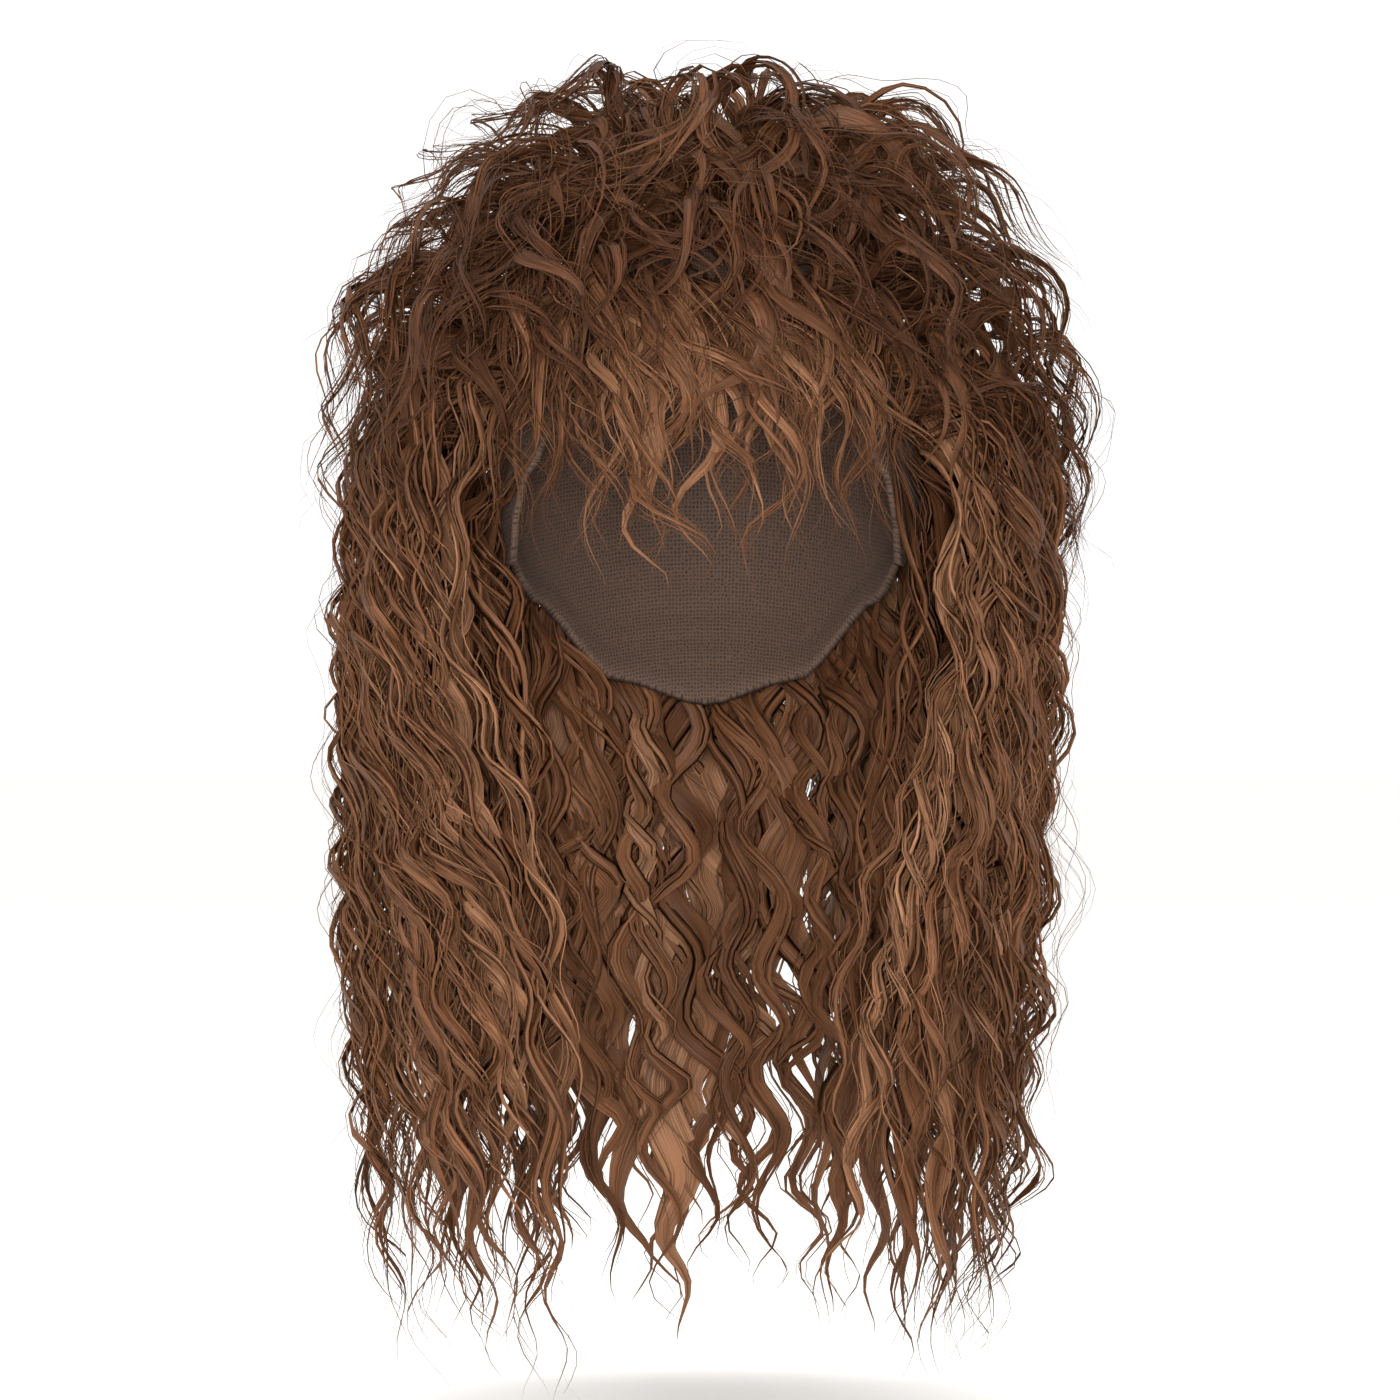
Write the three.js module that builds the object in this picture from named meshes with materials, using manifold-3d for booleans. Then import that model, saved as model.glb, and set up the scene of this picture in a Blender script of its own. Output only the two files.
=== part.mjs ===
// A long curly wig: a hollow net cap with rows of wavy hair sewn round it.
// Millimetres, +Z up. The wearer looks along -Y, and left and right are the wearer's, so left is +X.
// The origin is in the middle of the head at the level of the temples, where the cap sits.
import * as THREE from "three";
import { mergeVertices } from "three/addons/utils/BufferGeometryUtils.js";
import Module from "manifold-3d";

const wasm = await Module();
wasm.setup();

// Driving dimensions
const CAP_WALL = 2; // net, elastic and the stitched tracks together
const SEAT_GAP = 0.5; // between the cap and the rows of hair sewn on it
const WAVE_SWING = 6; // how far the hair swings to each side
const WAVE_LEVELS = 1.6; // levels of the table below in one full wave
const WAVE_TURN = 180; // degrees round the head in which the wave falls back by one
const CALM_LEVEL = 1.5; // above it the wave dies out towards the crown
const STEP = WAVE_LEVELS / 4; // levels between the points down a lock
const VALLEY = 0.5; // how far the hair sinks between two locks, as a share of its thickness
const VALLEY_FULL = 0.5; // the share of the sheet's length by which the valleys are that deep
const LOCK_ROOT = 0.25; // how many levels a free lock reaches up into its row's sheet
const LOCK_HALF = 0.48; // half of a free lock's width, as a share of its room in the row
const LOCK_TIP = 0.1; // a lock's size at its tip, as a share of its size where it parts
const LOCK_TAPER = 1.3; // over 1 keeps a lock full for longer before it thins
const CAP_AZIMUTHS = 26;
const CAP_STATIONS = 7;
const MERGE_DISTANCE = 1e-3;
const HAIR_BROWN = 0x5c3f2c;
const CAP_BROWN = 0x2b1c14;

// Sections down the wig, one for each level from 0 at the crown of the head to 10 at the tips.
// The "in" columns are the surface of the head and then the hollow round the neck, and the "out" columns
// are the outline of the hair: height, half width, and reach to the front and to the back.
const SECTIONS = [
  { inZ: 104, inSide: 0, inFront: 0, inBack: 0, outZ: 147, outSide: 0, outFront: 0, outBack: 0 },
  { inZ: 96, inSide: 30, inFront: 38, inBack: 38, outZ: 138, outSide: 60, outFront: 54, outBack: 60 },
  { inZ: 73.5, inSide: 55, inFront: 69, inBack: 69, outZ: 112, outSide: 98, outFront: 92, outBack: 98 },
  { inZ: 40, inSide: 72, inFront: 90, inBack: 90, outZ: 72, outSide: 127, outFront: 114, outBack: 121 },
  { inZ: 0, inSide: 78, inFront: 98, inBack: 98, outZ: 22, outSide: 136, outFront: 120, outBack: 131 },
  { inZ: -40, inSide: 73, inFront: 92, inBack: 90, outZ: -38, outSide: 135, outFront: 114, outBack: 128 },
  { inZ: -78, inSide: 67, inFront: 84, inBack: 72, outZ: -90, outSide: 134, outFront: 108, outBack: 122 },
  { inZ: -140, inSide: 62, inFront: 80, inBack: 64, outZ: -145, outSide: 132, outFront: 106, outBack: 118 },
  { inZ: -200, inSide: 60, inFront: 78, inBack: 68, outZ: -203, outSide: 128, outFront: 104, outBack: 116 },
  { inZ: -260, inSide: 62, inFront: 78, inBack: 76, outZ: -260, outSide: 120, outFront: 100, outBack: 112 },
  { inZ: -322, inSide: 66, inFront: 78, inBack: 82, outZ: -322, outSide: 104, outFront: 92, outBack: 104 },
];

// The cap's edge on the left half: azimuth from the face (0) to the nape (180), and the level it reaches.
const CAP_EDGE = [
  { azimuth: 0, level: 2.55 },
  { azimuth: 36, level: 2.8 },
  { azimuth: 54, level: 3.9 },
  { azimuth: 70, level: 4.75 }, // the tab in front of the ear
  { azimuth: 92, level: 4.15 }, // the arch over the ear
  { azimuth: 120, level: 5.0 },
  { azimuth: 150, level: 5.8 },
  { azimuth: 180, level: 6.0 },
];

// Rows of hair. Each is a sheet of locks side by side between two azimuths, or round the whole head.
// tipAzimuth: where those edges hang at the tips. split: the level where the sheet parts into free locks.
// tip: the level where these end, give or take half of ragged. flick: how far their ends turn out.
// profile: the sheet from its sewn edge down, with the depths of its faces from 0 at the head to 1 at the outline.
const UNDER_PROFILE = [
  { drop: 0, inner: 0.004, outer: 0.08 },
  { drop: 0.2, inner: 0.004, outer: 0.1 },
  { drop: 0.9, inner: 0.03, outer: 0.31 },
  { drop: 2, inner: 0.03, outer: 0.31 },
  { drop: 3.4, inner: 0.04, outer: 0.5 },
];
const OUTER_PROFILE = [
  { drop: 0, inner: 0.004, outer: 0.08 },
  { drop: 0.2, inner: 0.004, outer: 0.12 },
  { drop: 0.8, inner: 0.35, outer: 0.65 },
  { drop: 2.8, inner: 0.35, outer: 0.65 },
  { drop: 4.1, inner: 0.56, outer: 0.98 },
];
const CROWN_PROFILE = [
  { drop: 0, inner: 0.012, outer: 0.5 },
  { drop: 0.75, inner: 0.04, outer: 0.69 },
  { drop: 1.05, inner: 0.27, outer: 0.79 },
  { drop: 1.5, inner: 0.5, outer: 0.86 },
  { drop: 2.2, inner: 0.72, outer: 1 },
];
const TOP_PROFILE = [
  { drop: 0, inner: 0.004, outer: 1 },
  { drop: 0.8, inner: 0.04, outer: 1 },
  { drop: 1.05, inner: 0.64, outer: 1 },
  { drop: 1.5, inner: 0.76, outer: 1 },
  { drop: 1.8, inner: 0.86, outer: 1.01 },
  { drop: 2.6, inner: 0.93, outer: 1.03 },
];
const FRINGE_PROFILE = [
  { drop: 0, inner: 0.004, outer: 0.1 },
  { drop: 0.2, inner: 0.004, outer: 0.12 },
  { drop: 0.6, inner: 0.12, outer: 0.54 },
];
const ROWS = {
  nape_weft: {
    locks: 8, azimuth: [120, 240], tipAzimuth: [113, 247], top: 4.6, split: 7.7, tip: 9.2, ragged: 0.9,
    flick: 0, profile: UNDER_PROFILE,
  },
  side_under_left: {
    locks: 6, azimuth: [55, 116], tipAzimuth: [42, 109], top: 3.6, split: 7.5, tip: 9.5, ragged: 1,
    flick: 0, profile: UNDER_PROFILE,
  },
  back_weft: {
    locks: 8, azimuth: [119, 241], tipAzimuth: [112, 248], top: 3, split: 7.4, tip: 9.1, ragged: 1,
    flick: 0.04, profile: OUTER_PROFILE,
  },
  side_weft_left: {
    locks: 6, azimuth: [49, 115], tipAzimuth: [27, 108], top: 2.75, split: 7.2, tip: 9.4, ragged: 1.2,
    flick: 0.04, profile: OUTER_PROFILE,
  },
  crown_weft: {
    locks: 14, azimuth: [-180, 180], tipAzimuth: [-180, 180], top: 1.05, split: 4.6, tip: 5.9, ragged: 1.4,
    flick: 0.12, profile: CROWN_PROFILE, overFace: { split: 2.75, tip: 3.6, ragged: 0.6 },
  },
  crown_top: {
    locks: 7, azimuth: [-180, 180], tipAzimuth: [-180, 180], top: 0, split: 1.75, tip: 2.35, ragged: 0.5,
    flick: 0.12, profile: TOP_PROFILE,
  },
  fringe: {
    locks: 8, azimuth: [-46, 46], tipAzimuth: [-46, 46], top: 2.2, split: 2.95, tip: 4.5, ragged: 0.8,
    flick: 0, profile: FRINGE_PROFILE,
  },
};
const FULL_TURN = 360;
const FACE_ANGLES = [34, 80]; // between them a row that is cut short over the face gains its full length
const DRIFT_LEVELS = [5, 8]; // where the hair moves from its root's azimuth to its tip's
const GOLDEN = 0.618; // spreads the ragged tips without a pattern

const radians = THREE.MathUtils.degToRad;
const lerp = THREE.MathUtils.lerp;
const smoothstep = THREE.MathUtils.smoothstep;

// A smooth curve through the rows of one column, read at a level between them. Over the crown it runs on
// down the other side of the head, where a width is counted the other way.
function column(name, level) {
  const last = SECTIONS.length - 1;
  const row = THREE.MathUtils.clamp(Math.floor(level), 0, last - 1);
  const value = (i) => SECTIONS[THREE.MathUtils.clamp(i, 0, last)][name];
  const overCrown = name.endsWith("Z") ? value(1) : -value(1);
  const before = row === 0 ? overCrown : value(row - 1);
  const t = level - row;
  const rise = (value(row + 1) - before) / 2;
  const nextRise = (value(row + 2) - value(row)) / 2;
  const turn = value(row + 1) - value(row);
  return value(row) + t * (rise + t * (3 * turn - 2 * rise - nextRise + t * (rise + nextRise - 2 * turn)));
}

// A point of the hair: azimuth from the face in degrees, level down the wig, depth from head to outline.
function hairPoint(azimuth, level, depth) {
  const between = (name) => lerp(column("in" + name, level), column("out" + name, level), depth);
  const angle = radians(azimuth);
  const reach = Math.cos(angle) > 0 ? between("Front") : between("Back");
  return new THREE.Vector3(between("Side") * Math.sin(angle), -reach * Math.cos(angle), between("Z"));
}

// The swing of the waves in degrees of azimuth: one field for all the hair, so that neighbours nest.
function swing(azimuth, level) {
  const phase = 2 * Math.PI * (level / WAVE_LEVELS + azimuth / WAVE_TURN);
  const radius = (column("inSide", level) + column("outSide", level)) / 2;
  const reach = (WAVE_SWING * Math.min(1, level / CALM_LEVEL)) / Math.max(radius, WAVE_SWING);
  return THREE.MathUtils.radToDeg(reach * Math.sin(phase));
}

function evenSteps(from, to, size) {
  const count = Math.max(1, Math.round((to - from) / size));
  return Array.from({ length: count + 1 }, (_, i) => lerp(from, to, i / count));
}

// A closed surface through rings of equally many points. The rings stand in a row with an end face on the
// first and the last of them, or they run round in a circle.
function loft(rings, circle) {
  const corners = [];
  const size = rings[0].length;
  const quad = (a, b, c, d) => corners.push(a, b, c, c, b, d);
  rings.forEach((ring, i) => {
    if (i + 1 === rings.length && !circle) return;
    const next = rings[(i + 1) % rings.length];
    for (let j = 0; j < size; j++) {
      const k = (j + 1) % size;
      quad(ring[j], ring[k], next[j], next[k]);
    }
  });
  if (!circle) {
    const [first, last] = [rings[0], rings.at(-1)];
    for (let j = 0; j < size / 2 - 1; j++) {
      const across = size - 1 - j;
      quad(first[across], first[across - 1], first[j], first[j + 1]);
      quad(last[j], last[j + 1], last[across], last[across - 1]);
    }
  }
  return new THREE.BufferGeometry().setFromPoints(corners);
}

function toSolid(geometry) {
  const merged = mergeVertices(geometry, MERGE_DISTANCE);
  const corners = Array.from(merged.index.array);
  const whole = corners.filter((_, i) => {
    const [a, b, c] = corners.slice(i - (i % 3), i - (i % 3) + 3);
    return a !== b && b !== c && c !== a;
  });
  const mesh = new wasm.Mesh({
    numProp: 3,
    vertProperties: new Float32Array(merged.attributes.position.array),
    triVerts: new Uint32Array(whole),
  });
  return new wasm.Manifold(mesh);
}

function toGeometry(solid) {
  const mesh = solid.getMesh();
  return new THREE.BufferGeometry()
    .setAttribute("position", new THREE.BufferAttribute(mesh.vertProperties, 3))
    .setIndex(new THREE.BufferAttribute(mesh.triVerts, 1));
}

// The depths of a row's inner and outer face at a level.
function faces(row, level) {
  const drop = level - row.top;
  const last = row.profile.at(-1);
  const next = row.profile.findIndex((station) => station.drop > drop);
  if (next < 0) return { inner: last.inner, outer: last.outer };
  const [a, b] = [row.profile[next - 1], row.profile[next]];
  const share = smoothstep(drop, a.drop, b.drop);
  return { inner: lerp(a.inner, b.inner, share), outer: lerp(a.outer, b.outer, share) };
}

// The azimuth of a place across a row, from 0 at one edge to 1 at the other, with drift and waves.
function azimuthOf(row, across, level, side) {
  const drift = smoothstep(level, ...DRIFT_LEVELS);
  const azimuth = side * lerp(lerp(...row.azimuth, across), lerp(...row.tipAzimuth, across), drift);
  return azimuth + swing(azimuth, level);
}

// Where the sheet parts and where its locks end at a place across the row.
function lengths(row, across) {
  const { split, tip, ragged } = row;
  if (!row.overFace) return { split, tip, ragged };
  const full = smoothstep(Math.abs(lerp(...row.azimuth, across)), ...FACE_ANGLES);
  const blend = (name) => lerp(row.overFace[name], row[name], full);
  return { split: blend("split"), tip: blend("tip"), ragged: blend("ragged") };
}

// The places down a row's sheet where it has points: the corners of its profile, and steps between them.
function stationsOf(row) {
  const length = row.split - row.top;
  const corners = row.profile.map((station) => station.drop / length).filter((share) => share < 1);
  const ends = [...corners.slice(1), 1];
  const steps = corners.map((share, i) => evenSteps(share, ends[i], STEP / length));
  return [...steps.flatMap((run) => run.slice(0, -1)), 1];
}

// The sheet of a row: ridges along the middles of its locks and valleys between them.
function sheet(row, side) {
  const circle = row.azimuth[1] - row.azimuth[0] === FULL_TURN;
  const halves = 2 * row.locks;
  const stations = stationsOf(row);
  const rings = Array.from({ length: circle ? halves : halves + 1 }, (_, i) => {
    const sink = i % 2 === 0 ? VALLEY : 0;
    const bottom = lengths(row, i / halves).split;
    const outer = [];
    const inner = [];
    for (const station of stations) {
      const level = lerp(row.top, bottom, station);
      const azimuth = azimuthOf(row, i / halves, level, side);
      const { inner: low, outer: high } = faces(row, level);
      outer.push(hairPoint(azimuth, level, lerp(high, low, sink * smoothstep(station, 0, VALLEY_FULL))));
      inner.push(hairPoint(azimuth, level, low));
    }
    return [...outer, ...inner.reverse()];
  });
  return loft(side > 0 ? rings : rings.reverse(), circle);
}

// A free lock: a tapered strip that carries one ridge of its row on to a tip.
function lock(row, index, side) {
  const across = (index + 0.5) / row.locks;
  const { split, tip: meanTip, ragged } = lengths(row, across);
  const tip = meanTip + ragged * ((((index + 1) * GOLDEN) % 1) - 0.5);
  const levels = evenSteps(split - LOCK_ROOT, tip, STEP);
  const rings = levels.map((level) => {
    const free = Math.max(0, (level - split) / (tip - split));
    const size = lerp(1, LOCK_TIP, free ** LOCK_TAPER);
    const { inner, outer } = faces(row, level);
    const depth = (inner + outer) / 2 + row.flick * free * free;
    const thick = ((outer - inner) / 2) * (1 - VALLEY / 2) * size;
    const azimuthAt = (sideways) => azimuthOf(row, across + (sideways * size * LOCK_HALF) / row.locks, level, side);
    return [
      hairPoint(azimuthAt(side), level, depth),
      hairPoint(azimuthAt(0), level, depth + thick),
      hairPoint(azimuthAt(-side), level, depth),
      hairPoint(azimuthAt(0), level, depth - thick),
    ];
  });
  return loft(rings, false);
}

// A row of hair as one solid: its free locks fused to its sheet.
function hairRow(row, side) {
  let solid = toSolid(sheet(row, side));
  for (let i = 0; i < row.locks; i++) {
    solid = solid.add(toSolid(lock(row, i, side)));
  }
  return toGeometry(solid);
}

// The level of the cap's edge at an azimuth, the same on both sides of the head.
function capEdge(azimuth) {
  const from = Math.abs(azimuth);
  const next = CAP_EDGE.findIndex((point) => point.azimuth >= from);
  if (next <= 0) return CAP_EDGE[0].level;
  const [a, b] = [CAP_EDGE[next - 1], CAP_EDGE[next]];
  return lerp(a.level, b.level, smoothstep(from, a.azimuth, b.azimuth));
}

// The cap: a thin dome that follows the head, cut to the cap's edge and open below it.
function capWall() {
  const rings = Array.from({ length: CAP_AZIMUTHS }, (_, i) => {
    const azimuth = (FULL_TURN * i) / CAP_AZIMUTHS - FULL_TURN / 2;
    const levels = evenSteps(0, capEdge(azimuth), capEdge(azimuth) / CAP_STATIONS);
    const face = (inset) =>
      levels.map((level) => {
        const point = hairPoint(azimuth, level, 0);
        return point.multiplyScalar(1 - inset / point.length());
      });
    return [...face(SEAT_GAP), ...face(SEAT_GAP + CAP_WALL).reverse()];
  });
  return toGeometry(toSolid(loft(rings, true)));
}

const hair = new THREE.MeshStandardMaterial({ color: HAIR_BROWN, roughness: 0.5, metalness: 0 });
const net = new THREE.MeshStandardMaterial({ color: CAP_BROWN, roughness: 0.9, metalness: 0 });

const wig = new THREE.Group();

function addPiece(name, geometry, material) {
  const mesh = new THREE.Mesh(geometry, material);
  mesh.name = name;
  wig.add(mesh);
}

addPiece("wig_cap", capWall(), net);
for (const [name, row] of Object.entries(ROWS)) {
  addPiece(name, hairRow(row, 1), hair);
  if (name.endsWith("_left")) {
    addPiece(name.replace("_left", "_right"), hairRow(row, -1), hair);
  }
}

export default wig;
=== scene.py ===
import math

import bpy
import numpy as np
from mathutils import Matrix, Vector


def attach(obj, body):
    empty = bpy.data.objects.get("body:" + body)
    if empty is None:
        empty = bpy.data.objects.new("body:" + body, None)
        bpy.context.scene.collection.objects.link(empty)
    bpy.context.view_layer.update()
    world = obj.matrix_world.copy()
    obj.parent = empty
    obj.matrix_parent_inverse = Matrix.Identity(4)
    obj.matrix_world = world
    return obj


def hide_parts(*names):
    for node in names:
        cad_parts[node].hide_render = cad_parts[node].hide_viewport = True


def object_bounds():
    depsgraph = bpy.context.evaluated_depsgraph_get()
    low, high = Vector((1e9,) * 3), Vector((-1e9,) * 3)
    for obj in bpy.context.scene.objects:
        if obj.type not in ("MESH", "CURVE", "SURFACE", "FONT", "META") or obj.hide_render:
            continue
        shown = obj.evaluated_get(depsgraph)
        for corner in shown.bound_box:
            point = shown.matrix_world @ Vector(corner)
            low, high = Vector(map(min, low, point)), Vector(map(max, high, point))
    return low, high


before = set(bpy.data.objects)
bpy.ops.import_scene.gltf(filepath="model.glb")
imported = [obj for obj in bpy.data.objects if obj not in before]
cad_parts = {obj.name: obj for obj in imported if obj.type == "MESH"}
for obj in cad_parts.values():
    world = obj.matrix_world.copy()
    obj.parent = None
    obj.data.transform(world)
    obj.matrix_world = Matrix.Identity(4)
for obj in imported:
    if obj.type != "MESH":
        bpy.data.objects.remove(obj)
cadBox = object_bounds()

mm = 0.001

# sections down the wig in mm, a row for each level: 0 at the crown, 10 at the longest tips
# in: the cap and then the hollow below it, out: the outline of the hair
sectionColumns = ("inZ", "inSide", "inFront", "inBack", "outZ", "outSide", "outFront", "outBack")
sections = np.array([
    (104, 0, 0, 0, 147, 0, 0, 0),
    (96, 30, 38, 38, 138, 60, 54, 60),
    (73.5, 55, 69, 69, 112, 98, 92, 98),
    (40, 72, 90, 90, 72, 127, 114, 121),
    (0, 78, 98, 98, 22, 136, 120, 131),
    (-40, 73, 92, 90, -38, 135, 114, 128),
    (-78, 67, 84, 72, -90, 134, 108, 122),
    (-140, 62, 80, 64, -145, 132, 106, 118),
    (-200, 60, 78, 68, -203, 128, 104, 116),
    (-260, 62, 78, 76, -260, 120, 100, 112),
    (-322, 66, 78, 82, -322, 104, 92, 104),
], float)

# the cap's edge on one half: azimuth from the front, level
capEdgeTable = np.array([
    (0, 2.55), (36, 2.8), (54, 3.9), (70, 4.75), (92, 4.15), (120, 5.0), (150, 5.8), (180, 6.0),
], float)


def blend(low, high, share):
    return low + (high - low) * share


def smoothstep(x, low, high):
    t = np.clip((np.asarray(x, float) - low) / (high - low), 0, 1)
    return t * t * (3 - 2 * t)


def smoothTable(table, x):  # the table's other columns at x, eased from row to row
    k = np.clip(np.searchsorted(table[:, 0], x, side="right") - 1, 0, len(table) - 2)
    share = smoothstep((x - table[k, 0]) / (table[k + 1, 0] - table[k, 0]), 0, 1)
    return [blend(table[k, c], table[k + 1, c], share) for c in range(1, table.shape[1])]


def capEdge(azimuth):  # the level of the cap's edge
    return smoothTable(capEdgeTable, np.abs(azimuth))[0]


def column(name, level):  # a smooth curve through one column of the sections
    values = sections[:, sectionColumns.index(name)]
    overCrown = values[1] if name.endswith("Z") else -values[1]
    points = np.concatenate(([overCrown], values, values[-1:]))
    row = np.clip(np.floor(level).astype(int), 0, len(values) - 2)
    t = level - row
    before, here, after, beyond = (points[row + k] for k in range(4))
    rise = (after - before) / 2
    nextRise = (beyond - here) / 2
    turn = after - here
    return here + t * (rise + t * (3 * turn - 2 * rise - nextRise + t * (rise + nextRise - 2 * turn)))


def hairPoint(azimuth, level, depth):  # degrees from the front, level, 0 at the cap to 1 at the outline
    azimuth, level, depth = np.broadcast_arrays(*(np.asarray(x, float) for x in (azimuth, level, depth)))
    angle = np.radians(azimuth)
    side, front, back, height = (
        blend(column("in" + name, level), column("out" + name, level), depth)
        for name in ("Side", "Front", "Back", "Z"))
    reach = np.where(np.cos(angle) > 0, front, back)
    return mm * np.stack((side * np.sin(angle), -reach * np.cos(angle), height), -1)


def linearColour(hexCode):  # sRGB hex to the linear colour that a shader socket takes
    parts = [int(hexCode[i:i + 2], 16) / 255 for i in (1, 3, 5)]
    return [c / 12.92 if c <= 0.04045 else ((c + 0.055) / 1.055) ** 2.4 for c in parts] + [1.0]


mathSigns = {
    "+": "ADD", "-": "SUBTRACT", "*": "MULTIPLY", "/": "DIVIDE", "<": "LESS_THAN", ">": "GREATER_THAN",
    "min": "MINIMUM", "max": "MAXIMUM", "abs": "ABSOLUTE", "power": "POWER", "sqrt": "SQRT", "cos": "COSINE",
    "sin": "SINE",
}


# one node of any kind, or a sign for arithmetic; its inputs come in order or by socket, as values or as the
# outputs of other nodes
def addNode(tree, kind, *inputs, **settings):
    node = tree.nodes.new("ShaderNodeMath" if kind in mathSigns else kind)
    if kind in mathSigns:
        node.operation = mathSigns[kind]
    for name, value in settings.items():
        setattr(node, name, value)
    given = inputs[0] if inputs and isinstance(inputs[0], dict) else dict(enumerate(inputs))
    for name, value in given.items():
        if isinstance(value, bpy.types.NodeSocket):
            tree.links.new(value, node.inputs[name])
        else:
            node.inputs[name].default_value = value
    return node


def newMaterial(name):
    material = bpy.data.materials.new(name)
    material.use_nodes = True
    tree = material.node_tree
    tree.nodes.clear()
    shader = addNode(tree, "ShaderNodeBsdfPrincipled")
    addNode(tree, "ShaderNodeOutputMaterial", {"Surface": shader.outputs["BSDF"]})
    return material, tree, shader


def linkObject(name, data):
    made = bpy.data.objects.new(name, data)
    bpy.context.scene.collection.objects.link(made)
    return made


# how the hair of every row curls
curl = {
    "rootWave": 50,  # mm in one wave near the root
    "tipWave": 40,  # mm in one wave further down
    "waveChange": (20, 120),  # mm from the root, from the one to the other
    "waveScatter": (0.8, 1.35),  # from lock to lock
    "waveDrift": 0.2,  # share by which a wave lengthens and shortens down the lock
    "waveDriftRun": 120,  # mm
    "swing": 5.6,  # mm to each side
    "swingScatter": (0.55, 1.25),
    "swingDrift": 0.3,  # share by which the swing grows and fades down the lock
    "swingDriftRun": 90,  # mm
    "calm": 30,  # mm from the root before the wave is full
    "flatness": 0.7,  # depth of the wave and of a lock, as a share of its width
    "spread": 4.8,  # mm, half of a lock's width
    "spreadScatter": (0.7, 1.3),
    "rootSpread": 0.35,  # share of the width that a lock has at its root
    "tipSpread": 0.4,  # and at its tip
    "taper": 80,  # mm from the tip over which a lock narrows
    "clearance": 0.8,  # mm between the hair and the cap
    "soften": 3,  # passes that round off a lock's bends
}
# how a lock leaves the cap, and where it goes
growth = {
    "front": (34, 80),  # degrees over which front hair turns into side hair
    "rootBias": 0.8,  # below 1: a little more of the roots lie low
    "edgeGap": 0.15,  # levels from the lowest root to the cap's edge
    "shortest": 0.9,  # levels
    "frontTipScatter": 0.25,  # levels
    "sideTipDrop": 4,  # levels by which tips hang lower away from the front
    "driftLevels": (5, 8),  # where a lock moves over from its root's azimuth to its tip's
    "meanderTurns": (0.4, 1.1),  # from root to tip
    "strayShare": 0.5,  # of the lock, before it strays in full
    "riseScatter": (0.8, 1.2),
    "crownRise": 0.3,  # share of the rise at the crown, where locks stand up steeply
    "crownLevels": 1.5,
    "leastDepth": 0.01,
    "leastRadius": 30,  # mm
    "flickPower": 3,  # only the ends flick out
    "evenDepth": 0.6,  # where deep hair and outer hair get no painted light and keep the row's own tone
    "samples": 160,  # points before they are spaced evenly
    "leastPoints": 5,
    "probe": 0.02,  # step that finds the way out and the way down
}
guideWays = ("out", "side")
guideNumbers = ("along", "phase", "swing", "spread", "tone", "wisps", "bodies", "gauge", "girth", "length",
                "bare", "lean")


def unit(vectors):
    return vectors / np.linalg.norm(vectors, axis=1, keepdims=True)


def dot(a, b):
    return np.sum(a * b, axis=1, keepdims=True)


def runAlong(points):  # distance from the first point to each
    return np.concatenate(([0], np.cumsum(np.linalg.norm(np.diff(points, axis=0), axis=1))))


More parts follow.
